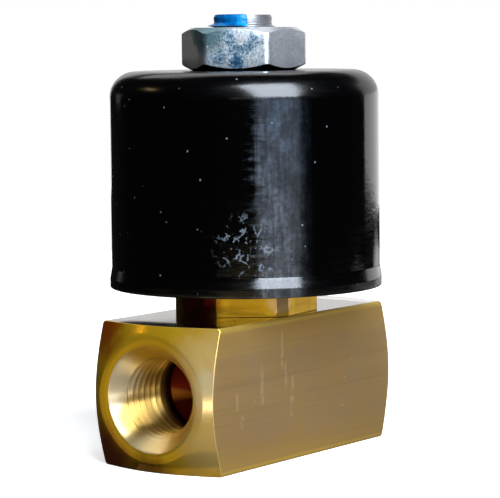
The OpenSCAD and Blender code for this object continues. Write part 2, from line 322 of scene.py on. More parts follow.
class Paint:
    """One Principled material. Each method adds a node and returns its output."""

    def __init__(self, name, **settings):
        self.material = bpy.data.materials.new(name)
        self.material.use_nodes = True
        self.nodes = self.material.node_tree.nodes
        self.links = self.material.node_tree.links
        self.shader = self.nodes["Principled BSDF"]
        for socket, value in settings.items():
            self.put(self.shader, socket.replace("_", " "), value)
        self.position = self.nodes.new("ShaderNodeTexCoord").outputs["Object"]

    def put(self, node, socket, value):
        if isinstance(value, bpy.types.NodeSocket):
            self.links.new(value, node.inputs[socket])
        else:
            node.inputs[socket].default_value = value

    def set(self, socket, value):
        self.put(self.shader, socket, value)

    def math(self, operation, *values):
        node = self.nodes.new("ShaderNodeMath")
        node.operation = operation
        for i, value in enumerate(values):
            self.put(node, i, value)
        return node.outputs[0]

    def times(self, first, *others):
        for value in others:
            first = self.math("MULTIPLY", first, value)
        return first

    def plus(self, a, b):
        return self.math("ADD", a, b)

    def minus(self, a, b):
        return self.math("SUBTRACT", a, b)

    def stretch(self, x, y, z, vector=None):
        """Coordinates times x, y and z, which are per metre."""
        node = self.nodes.new("ShaderNodeVectorMath")
        node.operation = "MULTIPLY"
        self.put(node, 0, vector or self.position)
        node.inputs[1].default_value = (x, y, z)
        return node.outputs[0]

    def split(self, vector=None):
        node = self.nodes.new("ShaderNodeSeparateXYZ")
        self.put(node, 0, vector or self.position)
        return node.outputs

    def turned(self, axis, centre_z=0.0):
        """Coordinates (along the axis, distance from it), for marks that run round a turned piece."""
        x, y, z = self.split()
        if axis == "X":
            along, a, b = x, y, self.minus(z, centre_z)
        else:
            along, a, b = z, x, y
        square = self.plus(self.times(a, a), self.times(b, b))
        node = self.nodes.new("ShaderNodeCombineXYZ")
        self.put(node, 0, along)
        self.put(node, 1, self.math("SQRT", square))
        return node.outputs[0]

    def noise(self, vector, scale=1.0, detail=3.0, rough=0.55, bend=0.0):
        node = self.nodes.new("ShaderNodeTexNoise")
        self.put(node, "Vector", vector)
        sockets = ("Scale", "Detail", "Roughness", "Distortion")
        for socket, value in zip(sockets, (scale, detail, rough, bend)):
            self.put(node, socket, value)
        return node.outputs[0]

    def cells(self, scale, feature="F1"):
        """Distance to the nearest of a set of scattered points, or to the lines halfway between them."""
        node = self.nodes.new("ShaderNodeTexVoronoi")
        node.feature = feature
        self.put(node, "Vector", self.position)
        self.put(node, "Scale", scale)
        return node.outputs["Distance"]

    def range(self, value, low, high, to_low=0.0, to_high=1.0):
        node = self.nodes.new("ShaderNodeMapRange")
        node.interpolation_type = "SMOOTHSTEP"
        for i, v in enumerate((value, low, high, to_low, to_high)):
            self.put(node, i, v)
        return node.outputs[0]

    def ramp(self, value, *stops):
        """A colour from (position, (r, g, b)) stops."""
        node = self.nodes.new("ShaderNodeValToRGB")
        self.put(node, 0, value)
        for _ in stops[2:]:
            node.color_ramp.elements.new(0.5)
        for element, (place, colour) in zip(node.color_ramp.elements, stops):
            element.position = place
            element.color = (*colour, 1)
        return node.outputs[0]

    def mix(self, share, a, b):
        """Colour a where share is 0 and b where it is 1."""
        node = self.nodes.new("ShaderNodeMix")
        node.data_type = "RGBA"
        self.put(node, 0, share)
        for i, colour in ((6, a), (7, b)):
            self.put(node, i, (*colour, 1) if isinstance(colour, tuple) else colour)
        return node.outputs[2]

    def near(self, centre, low, high):
        """1 within low of a point, and 0 past high, in millimetres."""
        node = self.nodes.new("ShaderNodeVectorMath")
        node.operation = "DISTANCE"
        self.put(node, 0, self.position)
        node.inputs[1].default_value = [c * MM for c in centre]
        return self.range(node.outputs["Value"], low * MM, high * MM, 1, 0)

    def bump(self, height, depth, strength=1.0):
        """Adds a bump, depth in millimetres."""
        node = self.nodes.new("ShaderNodeBump")
        self.put(node, "Height", height)
        self.put(node, "Distance", depth * MM)
        self.put(node, "Strength", strength)
        if self.shader.inputs["Normal"].links:
            self.links.new(self.shader.inputs["Normal"].links[0].from_socket, node.inputs["Normal"])
        self.set("Normal", node.outputs[0])

    def grain_round(self, axis, amount, across):
        """Stretches the gloss along or across the direction that runs round an axis."""
        node = self.nodes.new("ShaderNodeTangent")
        node.direction_type = "RADIAL"
        node.axis = axis
        self.set("Tangent", node.outputs[0])
        self.set("Anisotropic", amount)
        self.set("Anisotropic Rotation", 0.25 if across else 0.0)


# ---- materials

def drawn_brass():
    """The bar's long sides: satin, with fine lines along X, a dull tarnish, a few marks and a painted sheen
    along the long edges.
    """
    p = Paint("drawn_brass", Metallic=0.9)
    bands = p.noise(p.stretch(14, 460, 460), detail=5, rough=0.7)
    lines = p.noise(p.stretch(24, 2600, 2600), detail=3)
    patches = p.noise(p.position, 130, detail=3)
    colour = p.ramp(patches, (0.38, (0.70, 0.455, 0.175)), (0.62, (0.66, 0.445, 0.215)))
    colour = p.mix(p.times(p.range(bands, 0.3, 0.7), 0.4), colour, (0.76, 0.51, 0.19))
    colour = p.mix(p.times(p.range(lines, 0.5, 0.72), 0.22), colour, (0.42, 0.27, 0.10))
    # painted sheen: golden towards the long edges, with a painted highlight line right along them; and
    # darker towards the far end
    x, y, z = p.split()
    from_middle = p.math("ABSOLUTE", p.minus(z, PORT_Z * MM))
    painted_edge_sheen = p.times(p.range(from_middle, 5.0 * MM, 10.4 * MM), 0.6)
    colour = p.mix(painted_edge_sheen, colour, (0.84, 0.54, 0.12))
    # painted highlight line along the rounded long edges
    colour = p.mix(p.range(from_middle, 10.0 * MM, 10.5 * MM), colour, (1.0, 0.68, 0.14))
    far_end = p.range(x, -2.0 * MM, 22.0 * MM, 0.0, 0.30)
    colour = p.mix(far_end, colour, (0.42, 0.28, 0.11))
    waver = p.times(p.minus(p.noise(p.position, 700, 2), 0.5), 0.6 * MM)
    broken = p.range(p.noise(p.position, 1300, 3), 0.30, 0.55)
    front = p.range(y, (0.2 - BAR_HALF) * MM, (0.4 - BAR_HALF) * MM, 1, 0)
    for at_x, at_z, half, width in SIDE_SCRATCHES:
        away = p.math("ABSOLUTE", p.minus(p.plus(x, waver), at_x * MM))
        rise = p.math("ABSOLUTE", p.minus(z, at_z * MM))
        across = p.range(away, width * 0.4 * MM, width * MM, 1, 0)
        along = p.range(rise, half * 0.6 * MM, half * MM, 1, 0)
        colour = p.mix(p.times(across, along, front, broken, 0.38), colour, (1.0, 0.80, 0.47))
    specks = p.range(p.cells(260), 0.03, 0.07, 1, 0)
    colour = p.mix(p.times(specks, 0.5), colour, (0.95, 0.75, 0.45))
    p.set("Base Color", colour)
    p.set("Roughness", p.range(bands, 0.25, 0.75, 0.40, 0.45))
    p.bump(lines, 0.004, 0.5)
    p.grain_round("X", 0.35, across=False)
    return p.material


# x and z of the middle, half the length and half the width of each mark across the bar's front side
SIDE_SCRATCHES = (
    (-6.1, 17.2, 3.6, 0.42),
    (-5.2, 13.2, 2.2, 0.38),
    (-11.4, 12.4, 3.6, 0.55),
    (-3.4, 11.0, 2.4, 0.60),
    (-3.8, 8.6, 2.4, 0.46),
    (-17.8, 10.6, 1.6, 0.46),
    (-16.6, 7.6, 1.2, 0.6),
)


def milled_brass():
    """The bar's top face: nearly a mirror, with faint lines along X."""
    p = Paint("milled_brass", Metallic=1.0)
    lines = p.noise(p.stretch(40, 2400, 2400), detail=3)
    colour = p.mix(p.range(lines, 0.35, 0.65), (0.50, 0.47, 0.43), (0.43, 0.40, 0.36))
    p.set("Base Color", colour)
    p.set("Roughness", p.range(lines, 0.3, 0.7, 0.09, 0.15))
    p.bump(lines, 0.001, 0.4)
    return p.material


def turned_brass(name, axis, centre_z, tint, rough, grain, metal, patches, drilled=False):
    """Faces and bores cut on a lathe: bright, with fine rings round the axis, some tarnish, and patches of
    painted highlight and painted shade.

    A drilled port also has painted shade in its thread roots, and a bottom painted dark as shade, with a
    painted glint wedge and a painted shadow ring where it meets the wall.
    """
    p = Paint(name, Metallic=metal)
    rings = p.turned(axis, centre_z)
    fine = p.noise(p.stretch(6000, 6000, 0, rings), detail=2)
    broad = p.noise(p.stretch(700, 700, 0, rings), detail=3)
    stain = p.noise(p.position, 260, detail=3)
    darker = tuple(c * k for c, k in zip(tint, (0.86, 0.82, 0.66)))
    colour = p.mix(p.range(broad, 0.3, 0.7), tint, darker)
    colour = p.mix(p.times(p.range(stain, 0.55, 0.75), 0.3), colour, darker)
    ragged = p.times(p.minus(p.noise(p.position, 420, detail=4), 0.5), 1.3)
    # painted highlights and painted shade, patch by patch, with ragged edges
    for place, full, fade, patch_tint in patches:
        share = p.near(place, full, fade)
        soft = p.times(share, p.minus(1.0, share), 4.0)
        share = p.plus(share, p.times(soft, ragged))
        colour = p.mix(p.math("MAXIMUM", p.math("MINIMUM", share, 1.0), 0.0), colour, patch_tint)
    roughness = p.range(broad, 0.3, 0.7, *rough)
    if drilled:
        x, y, z = p.split()
        along = p.math("ABSOLUTE", x)
        # painted shade: the thread roots are darkened
        root = p.range(p.split(rings)[1], (PORT_R + 0.10) * MM, (PORT_R + 0.42) * MM)
        cut_in = p.range(along, (END_X - 3.2) * MM, (END_X - 2.2) * MM, 1, 0)
        colour = p.mix(p.times(root, cut_in, 0.7), colour, (0.42, 0.24, 0.06))
        # painted shade: the deep bottom is dark red-brown, with a golden painted glint wedge across it and a
        # near-black painted shadow ring where it meets the wall
        bottom = END_X - PORT_DEPTH
        deep = p.range(along, (bottom + 1.0) * MM, (bottom + 3.2) * MM, 1, 0)
        band = p.range(along, (bottom + 0.02) * MM, (bottom + 0.1) * MM)
        slant = p.math("DIVIDE", p.minus(z, centre_z - 1.2 * MM), y)
        painted_glint_wedge = p.range(p.math("ABSOLUTE", slant), 0.06, 0.26, 1, 0)
        painted_bottom_shade = p.mix(painted_glint_wedge, (0.32, 0.026, 0.009), (1.0, 0.40, 0.05))
        colour = p.mix(deep, colour, p.mix(band, painted_bottom_shade, (0.05, 0.006, 0.004)))
        roughness = p.plus(roughness, p.times(deep, 0.15))
    p.set("Base Color", colour)
    p.set("Roughness", roughness)
    p.bump(fine, 0.003, 0.4)
    p.bump(broad, 0.004, 0.3)
    p.grain_round(axis, grain, across=True)
    return p.material


def black_enamel():
    """The can: gloss black over spun steel, with a painted highlight strip streaked like dust, specks and a
    scuffed patch.
    """
    p = Paint("black_enamel", Metallic=0.0, IOR=1.5)
    spun = p.noise(p.stretch(260, 260, 1700), detail=4, rough=0.6)
    strokes = p.noise(p.stretch(1500, 1500, 130), detail=3, rough=0.65)
    peel = p.noise(p.position, 1500, detail=3, rough=0.6)
    grain = p.noise(p.position, 3400, detail=2, rough=0.6)
    specks = p.range(p.cells(400), 0.040, 0.080, 1, 0)
    cracks = p.range(p.cells(900, "DISTANCE_TO_EDGE"), 0.06, 0.13, 1, 0)
    kept = p.range(p.noise(p.position, 700, detail=4, rough=0.65), 0.53, 0.58)
    rubbed = p.math("MAXIMUM", p.near(SCUFF_PLACE, 3.0, 5.6), p.near(SECOND_SCUFF, 1.0, 3.6))
    scuff = p.times(cracks, kept, rubbed)
    marks = p.math("MAXIMUM", p.times(specks, 0.5), p.times(scuff, 0.4))
    # a painted highlight, grey-blue and streaked like dust, lies between two upright lines on the side that
    # faces the view, and its left edge is ragged
    x, y, z = p.split()
    across = p.plus(p.times(x, cos(CAMERA_TURN)), p.times(y, sin(CAMERA_TURN)))
    facing = p.minus(p.times(x, sin(CAMERA_TURN)), p.times(y, cos(CAMERA_TURN)))
    ragged = p.times(p.minus(spun, 0.5), 7 * MM)
    edge = p.plus(across, p.plus(ragged, p.times(p.minus(strokes, 0.5), 2 * MM)))
    painted_highlight_strip = p.times(
        p.range(edge, HIGHLIGHT_STRIP_LEFT * MM, (HIGHLIGHT_STRIP_LEFT + 2.2) * MM),
        p.range(across, (HIGHLIGHT_STRIP_RIGHT - 4.6) * MM, (HIGHLIGHT_STRIP_RIGHT + 0.8) * MM, 1, 0),
        p.range(facing, 0.0, 4 * MM),
        p.range(z, (can_high.z - 4.6) * MM, (can_high.z - 3.4) * MM, 1, 0),
        p.range(strokes, 0.30, 0.70, 0.35, 1.0),
        p.range(peel, 0.30, 0.65, 0.45, 1.0),
        p.range(p.noise(p.position, 330, detail=4), 0.36, 0.60, 0.45, 1.1),
    )
    highlight_strip_tint = p.ramp(p.range(z, 30 * MM, 56 * MM), (0.0, (0.062, 0.066, 0.074)), (1.0, (0.034, 0.048, 0.068)))
    colour = p.mix(painted_highlight_strip, (0.0003, 0.0003, 0.0004), highlight_strip_tint)
    p.set("Base Color", p.mix(marks, colour, (0.20, 0.25, 0.30)))
    rough = p.plus(p.range(spun, 0.3, 0.7, 0.06, 0.12), p.times(marks, 0.3))
    upper_edge = p.range(z, (can_high.z - 4.8) * MM, (can_high.z - 2.8) * MM, 0.0, 0.11)
    lower_edge = p.range(z, (can_low.z + 2.0) * MM, (can_low.z + 3.6) * MM, 0.07, 0.0)
    p.set("Roughness", p.plus(rough, p.plus(upper_edge, lower_edge)))
    p.bump(spun, 0.012, 0.5)
    p.bump(peel, 0.014, 0.6)
    p.bump(grain, 0.004, 0.5)
    return p.material


def zinc_plate():
    """The nut: bluish zinc, stained on one side, with one facet painted paler as painted light, and a smear
    of paint on its upper edge.
    """
    p = Paint("mottled_zinc", Metallic=0.9)
    cloud = p.noise(p.position, 300, detail=4, rough=0.6, bend=0.4)
    grit = p.noise(p.position, 2600, detail=4, rough=0.7)
    value = p.plus(p.times(cloud, 0.5), p.times(grit, 0.5))
    for place, reach, amount in STAINS:
        value = p.minus(value, p.times(p.near(place, 0.3, reach), amount))
    stained = p.ramp(
        value,
        (0.34, (0.04, 0.17, 0.30)),
        (0.40, (0.22, 0.38, 0.52)),
        (0.45, (0.62, 0.76, 0.86)),
        (0.56, (0.96, 1.0, 1.0)),
    )
    plain = p.mix(p.range(cloud, 0.38, 0.62), (0.76, 0.77, 0.80), (0.86, 0.87, 0.89))
    # painted light: the facet towards the left of the view is made paler
    plain = p.mix(p.near(PAINTED_LIGHT_FACET, 3.0, 5.5), plain, (1.0, 0.98, 0.93))
    colour = p.mix(p.near(BLOTCH_PLACE, 4.4, 5.4), plain, stained)
    smear = p.times(p.near(SMEAR_PLACE, 2.2, 5.6), p.range(cloud, 0.38, 0.50), 0.85)
    colour = p.mix(smear, colour, (0.02, 0.16, 0.20))
    p.set("Base Color", colour)
    p.set("Roughness", p.range(grit, 0.3, 0.7, 0.30, 0.42))
    p.bump(value, 0.06, 0.6)
    return p.material


def turned_steel(name, tint, rough, metal=1.0):
    """Steel cut on a lathe, with fine rings round Z."""
    p = Paint(name, Metallic=metal)
    rings = p.turned("Z")
    fine = p.noise(p.stretch(5200, 5200, 0, rings), detail=3)
    cloud = p.noise(p.position, 320, detail=3)
    darker = tuple(c * 0.78 for c in tint)
    p.set("Base Color", p.mix(p.range(cloud, 0.35, 0.65), tint, darker))
    p.set("Roughness", p.range(fine, 0.3, 0.7, *rough))
    p.bump(fine, 0.004, 0.5)
    p.grain_round("Z", 0.5, across=True)
    return p.material


def plain_metal(name, light, dark, scale, detail, rough, bump_scale, depth, strength=0.5, **settings):
    """A faintly mottled metal. bump_scale stretches its fine marks along X, Y and Z."""
    p = Paint(name, Metallic=1.0, **settings)
    cloud = p.noise(p.position, scale, detail)
    p.set("Base Color", p.mix(p.range(cloud, 0.35, 0.65), light, dark))
    p.set("Roughness", p.range(cloud, 0.3, 0.7, *rough))
    p.bump(p.noise(p.stretch(*bump_scale)), depth, strength)
    return p.material


def copper(name, tint):
    """Enamelled wire, or bare copper for the shading ring."""
    darker = tuple(c * 0.7 for c in tint)
    return plain_metal(
        name, tint, darker, 380, 4, (0.22, 0.34), (900, 900, 5200), 0.006, 0.4,
        Coat_Weight=0.4, Coat_Roughness=0.1,
    )


def moulded(name, tint, rough, grain=900, depth=0.01):
    """Rubber, nylon, tape or fibre: an even tint with a fine moulded grain."""
    p = Paint(name, Metallic=0.0)
    cloud = p.noise(p.position, 220, detail=4)
    pores = p.noise(p.position, grain, detail=4)
    darker = tuple(c * 0.72 for c in tint)
    p.set("Base Color", p.mix(p.range(cloud, 0.35, 0.65), tint, darker))
    p.set("Roughness", p.range(pores, 0.3, 0.7, rough - 0.06, rough + 0.06))
    p.bump(pores, depth, 0.5)
    return p.material


def blue_paint():
    """Thread-lock paint: a glossy dab, thinner and paler at its edges."""
    p = Paint("blue_lacquer", Metallic=0.0, Specular_IOR_Level=0.3)
    flow = p.noise(p.stretch(420, 420, 240), detail=3, bend=0.6)
    thick, middling, thin = (0.0003, 0.060, 0.22), (0.0006, 0.115, 0.30), (0.001, 0.24, 0.40)
    p.set("Base Color", p.ramp(flow, (0.35, thick), (0.50, middling), (0.66, thin)))
    p.set("Roughness", p.range(flow, 0.3, 0.7, 0.22, 0.36))
    p.bump(flow, 0.05, 0.4)
    return p.material


def seen_from(turn, radius, z):
    """A point at that height and radius, turn degrees to the right of the view's direction."""
    angle = CAMERA_TURN - 90 + turn
    return (radius * cos(angle), radius * sin(angle), z)


def on_near_end(rows):
    """Patches placed by depth from the near end's face, y, and height above the port's axis."""
    return [((depth - END_X, y, PORT_Z + rise), *rest) for (depth, y, rise), *rest in rows]


SCUFF_PLACE = seen_from(0.5, CAN_R, 33.8)
SECOND_SCUFF = seen_from(6.0, CAN_R, 31.0)
# edges of the painted highlight strip on the can, across the view, in millimetres
HIGHLIGHT_STRIP_LEFT, HIGHLIGHT_STRIP_RIGHT = 0.9, 9.5
BLOTCH_PLACE = seen_from(-10, NUT_AF / 2, 62.4)
SMEAR_PLACE = seen_from(-42, 8.6, 65.6)
# the middle of the nut facet that is painted paler as painted light
PAINTED_LIGHT_FACET = seen_from(-78, NUT_AF / 2, 62.0)
# place, reach and depth of the darkest stains on the nut's front
STAINS = (
    (seen_from(-6, NUT_AF / 2, 60.2), 1.8, 0.10),
    (seen_from(-27, NUT_AF / 2, 61.4), 1.9, 0.11),
    (seen_from(10, NUT_AF / 2, 63.0), 2.6, 0.08),
    (seen_from(-15, NUT_AF / 2, 64.4), 1.8, 0.05),
)

# painted highlights (the pale and golden tints) and painted shade (the dark and red-brown tints), as
# patches: the place, the reach of the full tint and of its fade, and the tint; in the port, painted
# highlights on the countersink and painted shade deeper in
PORT_PATCHES = on_near_end((
    ((0.8, 7.8, 2.0), 3.0, 7.0, (1.0, 0.86, 0.58)),
    ((0.8, 1.0, -7.8), 2.0, 5.0, (1.0, 0.80, 0.44)),
    ((0.6, 0.0, 8.4), 2.4, 5.4, (1.0, 0.66, 0.07)),
    ((1.5, 6.4, -5.0), 1.6, 4.4, (0.62, 0.45, 0.20)),
    ((4.0, 5.4, -3.2), 2.6, 5.0, (0.40, 0.25, 0.06)),
    ((5.5, 3.0, 5.4), 1.6, 4.0, (0.62, 0.40, 0.08)),
))
# near end: painted highlights on the right-hand side, and painted shade in the upper-left, lower-left and
# bottom corners
FACE_PATCHES = on_near_end((
    ((0.0, -11.0, 4.5), 3.0, 9.5, (0.94, 0.62, 0.19)),
    ((0.0, -11.0, -6.0), 2.0, 8.0, (0.82, 0.56, 0.17)),
    ((0.0, -10.6, 3.0), 1.0, 3.6, (1.0, 0.76, 0.36)),
    ((0.0, -10.6, 0.2), 0.8, 3.4, (1.0, 0.76, 0.36)),
    ((0.0, 11.0, 11.0), 2.5, 7.5, (0.46, 0.09, 0.006)),
    ((0.0, 11.0, -11.0), 3.6, 9.0, (0.42, 0.10, 0.026)),
    ((0.0, 1.0, -12.5), 2.0, 6.0, (0.26, 0.12, 0.006)),
))
# bonnet: painted shade, dark red, on the left, and a painted highlight on the right
HEXAGON_PATCHES = (
    (seen_from(-50, BONNET_CORNER_R, 24.5), 3.6, 6.2, (0.30, 0.022, 0.010)),
    (seen_from(28, BONNET_CORNER_R, 24.5), 1.2, 2.6, (1.0, 0.74, 0.36)),
)
DRAWN_BRASS = drawn_brass()
TURNED_BRASS = turned_brass(
    "turned_brass", "X", PORT_Z * MM,
    tint=(0.92, 0.62, 0.17), rough=(0.30, 0.38), grain=0.9, metal=0.86, patches=PORT_PATCHES, drilled=True,
)
FACED_BRASS = turned_brass(
    "faced_brass", "X", PORT_Z * MM,
    tint=(0.86, 0.50, 0.02), rough=(0.16, 0.22), grain=0.4, metal=0.74, patches=FACE_PATCHES,
)
MILLED_BRASS = milled_brass()
HEXAGON_BRASS = turned_brass(
    "hexagon_brass", "Z", 0.0,
    tint=(0.95, 0.62, 0.05), rough=(0.10, 0.18), grain=0.3, metal=0.92, patches=HEXAGON_PATCHES,
)
ENAMEL = black_enamel()
ZINC = zinc_plate()
# painted shade: nearly black zinc for the nut's downward-facing chamfers
SHADED_ZINC = turned_steel("painted_shade_zinc", tint=(0.05, 0.05, 0.055), rough=(0.20, 0.34))
STUD_STEEL = turned_steel("turned_stainless", tint=(0.27, 0.27, 0.27), rough=(0.40, 0.48), metal=0.75)
TUBE_STEEL = turned_steel("drawn_stainless", tint=(0.58, 0.58, 0.60), rough=(0.14, 0.22))
IRON = plain_metal(
    "plated_iron", (0.52, 0.53, 0.56), (0.38, 0.39, 0.42), 400, 5, (0.30, 0.44), (2400, 2400, 2400), 0.006
)
SPRING = plain_metal(
    "spring_wire", (0.55, 0.54, 0.52), (0.42, 0.41, 0.40), 900, 3, (0.18, 0.30), (3000, 3000, 9000), 0.003
)
WIRE_COPPER = copper("enamelled_copper", (0.62, 0.24, 0.10))
BARE_COPPER = copper("bare_copper", (0.75, 0.38, 0.24))
RUBBER = moulded("black_rubber", (0.022, 0.022, 0.023), 0.62)
GROMMET = moulded("grommet_rubber_grain", (0.030, 0.030, 0.031), 0.55, grain=1300)
NYLON = moulded("glass_nylon", (0.72, 0.66, 0.50), 0.45, grain=1800, depth=0.006)
TAPE = moulded("polyester_tape", (0.66, 0.47, 0.06), 0.28, grain=500)
FIBRE = moulded("vulcanised_fibre", (0.26, 0.075, 0.03), 0.6, grain=1500)
BLUE = blue_paint()


def dress(obj, body, slot, materials, *nodes):
    """Gives a new piece its materials, its body and the CAD nodes that it stands for."""
    obj.data.materials.clear()
    for material in materials:
        obj.data.materials.append(material)
    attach(obj, body)
    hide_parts(*nodes)
    return obj


def finish_node(node, material, edge=0.0):
    """Gives a CAD node that stays a material, and a rounded edge if edge, in millimetres, isn't 0."""
    obj = frame["nodes"][node]
    obj.data.materials.clear()
    obj.data.materials.append(material)
    if edge:
        weld = obj.modifiers.new("weld", "WELD")
        weld.merge_threshold = 0.001 * MM
        bevel = obj.modifiers.new("edge", "BEVEL")
        bevel.width, bevel.segments = edge * MM, 2
        bevel.limit_method, bevel.angle_limit = "ANGLE", math.radians(40)


# ---- valve body

DRAWN, TURNED, FACED, MILLED = range(4)


def body_corner(angle):
    return polygon_r(angle, 4, BAR_HALF, BAR_EDGE, 45)


def face_drop(radius):
    return max(0.0, radius - FACE_R) * tan(FACE_SLOPE)


def port_radius(angle, depth, x):
    """The port's wall at a depth: the countersink or the pipe thread, whichever is wider."""
    sink = MOUTH_R - (MOUTH_R - PORT_R) * depth / MOUTH_DEPTH
    cut_in = 1 - ease(depth, THREAD_END - 1.2, THREAD_END)
    thread = PORT_R + PIPE_DEPTH * cut_in * groove(angle, x, PIPE_PITCH)
    return max(sink, thread)


def body_end(side, angles):
    """(ring, finish) rows from the bottom of a port out to the bar's long side."""
    rows = []

    def add(radius, depth, finish=TURNED):
        def x(angle):
            return side * (END_X - value_at(depth, angle))
        rows.append((ring_x(angles, radius, x), finish))

    for radius in (0.4, 1.6, 2.9, 4.2, 5.2, PORT_R):
        add(radius, PORT_DEPTH + (PORT_R - radius) / tan(DRILL_HALF))
    for depth in (PORT_DEPTH - 0.1, PORT_DEPTH - 0.9, THREAD_END + 0.1):
        add(PORT_R + 0.02, depth)
    steps = round(8 * THREAD_END / PIPE_PITCH)
    for i in range(steps):
        depth = THREAD_END * (1 - i / steps)
        add(lambda a, d=depth: port_radius(a, d, side * (END_X - d)), depth)
    add(MOUTH_R - 0.02, 0.06)
    add(MOUTH_R + 0.08, 0.0, FACED)
    add(0.5 * (MOUTH_R + FACE_R), 0.0, FACED)
    add(FACE_R - 0.1, 0.0, FACED)
    for share in (0.02, 0.3, 0.6, 0.9, 0.985):
        def radius(angle, share=share):
            return FACE_R + (body_corner(angle) - FACE_R) * share
        add(radius, lambda a, r=radius: face_drop(r(a)), FACED)
    soft = 0.13
    for turn in (20, 55, 90):
        def radius(angle, turn=turn):
            return body_corner(angle) - soft * (1 - sin(turn))
        add(radius, lambda a, t=turn: face_drop(body_corner(a)) + soft * (1 - cos(t)) * 1.6, DRAWN)
    return rows


def valve_body():
    angles = round_angles(2.25, (45, 135, 225, 315), spread=1.4, extra=5)
    left, right = body_end(-1, angles), body_end(1, angles)
    middle = []
    count = 10
    for i in range(1, count):
        row = []
        for start, end in zip(left[-1][0], right[-1][0]):
            row.append(Vector(start).lerp(Vector(end), i / count))
        middle.append((row, DRAWN))
    right_rows = [ring for ring, finish in reversed(right)]
    right_finishes = [finish for ring, finish in reversed(right)][1:] + [TURNED]
    rows = [ring for ring, finish in left + middle] + right_rows
    finishes = [finish for ring, finish in left + middle] + right_finishes
    point = PORT_DEPTH + PORT_R / tan(DRILL_HALF)
    tips = ((point - END_X, 0, PORT_Z), (END_X - point, 0, PORT_Z))
    block = skin("body_block", rows, tips, finishes)

    over = 1.0
    chamber = lathe(
        "chamber_cut",
        [
            (O_SEAT_R, BAR_TOP + over),
            (O_SEAT_R, BAR_TOP - O_SEAT_H),
            (CHAMBER_R, BAR_TOP - O_SEAT_H),
            (CHAMBER_R, CHAMBER_Z),
            (SEAT_FOOT_R, CHAMBER_Z),
            (SEAT_RIM_R, SEAT_Z),
            (ORIFICE_R, SEAT_Z),
            (ORIFICE_R, PASSAGE_OUT_Z),
        ],
        step=3,
        tips=((0, 0, BAR_TOP + over), (0, 0, PASSAGE_OUT_Z)),
    )
    reach = END_X - PORT_DEPTH + 2.2
    cutters = [
        chamber,
        rod("inlet_cut", -reach, -SEAT_RIM_R - 2 * PASSAGE_R, PASSAGE_IN_Z, PASSAGE_R, step=9),
        rod("outlet_cut", 0, reach, PASSAGE_OUT_Z, PASSAGE_R, step=9),
    ]
    materials = (DRAWN_BRASS, TURNED_BRASS, FACED_BRASS, MILLED_BRASS)
    for cutter in cutters:
        for material in materials:
            cutter.data.materials.append(material)
        for polygon in cutter.data.polygons:
            polygon.material_index = TURNED
    for material in materials:
        block.data.materials.append(material)
    cut(block, cutters)
    marks = [
        MILLED if polygon.material_index == DRAWN and polygon.normal.z > 0.99 else polygon.material_index
        for polygon in block.data.polygons
    ]
    dress(block, "valve", "body_brass", materials, "valve_body")
    block.data.polygons.foreach_set("material_index", marks)
    return smooth(block)


# ---- hexagons


def hex_rows(angles, radius, crowns, slope, low, high, soft):
    """Rings over the outside of a hexagon, from its top face down.

    crowns are the radii at which its turned corners start, above and below.
    """
    above, below = crowns

    def drop(angle, crown):
        return max(0.0, radius(angle) - crown) * tan(slope)

    rows = [ring_z(angles, above - soft, high), ring_z(angles, above, high - 0.3 * soft)]

    def rounded_edge(end, inwards, crown, steps):
        for inset, down in steps:
            rows.append(ring_z(
                angles,
                lambda a, k=inset: radius(a) - k * soft,
                lambda a, k=down: end + inwards * (drop(a, crown) + (0.3 + k) * soft),
            ))

    steps = ((0.9, 0.0), (0.3, 0.25), (0.0, 1.0))
    rounded_edge(high, -1, above, steps)
    for share in (0.33, 0.67):
        rows.append(ring_z(angles, radius, low + (high - low) * (1 - share)))
    rounded_edge(low, 1, below, reversed(steps))
    rows += [ring_z(angles, below - 1.2 * soft, low + 0.3 * soft), ring_z(angles, below - 2 * soft, low)]
    return rows


def bonnet_radius(angle):
    """A hexagon whose corners are turned down to a cylinder."""
    off = (angle - BONNET_TURN) % 60 - 30
    return min(BONNET_AF / 2 / cos(off), BONNET_CORNER_R)


def bonnet():
    land = math.degrees(math.acos(BONNET_AF / 2 / BONNET_CORNER_R))
    edges = [BONNET_TURN + 30 + 60 * k + side * land for k in range(6) for side in (-1, 1)]
    angles = round_angles(3, edges, spread=0.5, extra=2)
    bottom, face = bonnet_low.z, BAR_TOP
    rows = [
        ring_z(angles, BONNET_BORE + 0.25, bottom),
        ring_z(angles, BONNET_BORE, bottom + 0.25),
        ring_z(angles, BONNET_BORE, bonnet_high.z - 0.2),
        ring_z(angles, BONNET_BORE + 0.2, bonnet_high.z),
    ]
    foot = BONNET_AF / 2 - 0.2
    rows += hex_rows(angles, bonnet_radius, (BONNET_CROWN, 99), BONNET_SLOPE, face, bonnet_high.z, 0.06)[:-2]
    rows.append(ring_z(angles, foot, face))
    neck, pitch = SPIGOT_R - 0.5, 1.0
    rows += [ring_z(angles, neck, face), ring_z(angles, neck, face - 1.0)]
    steps = 36
    for i in range(steps + 1):
        z = face - 1.0 + (bottom + 0.2 - face + 1.0) * i / steps
        cut_in = min(ease(i, 0, 5), ease(steps - i, 0, 5))
        rows.append(ring_z(angles, lambda a, z=z, k=cut_in: neck + 0.48 * k * (1 - groove(a, z, pitch)), z))
    rows.append(ring_z(angles, neck - 0.2, bottom))
    piece = skin("bonnet_hexagon", rows)
    return smooth(dress(piece, "valve", "bonnet_brass", (HEXAGON_BRASS,), "bonnet"), 20)


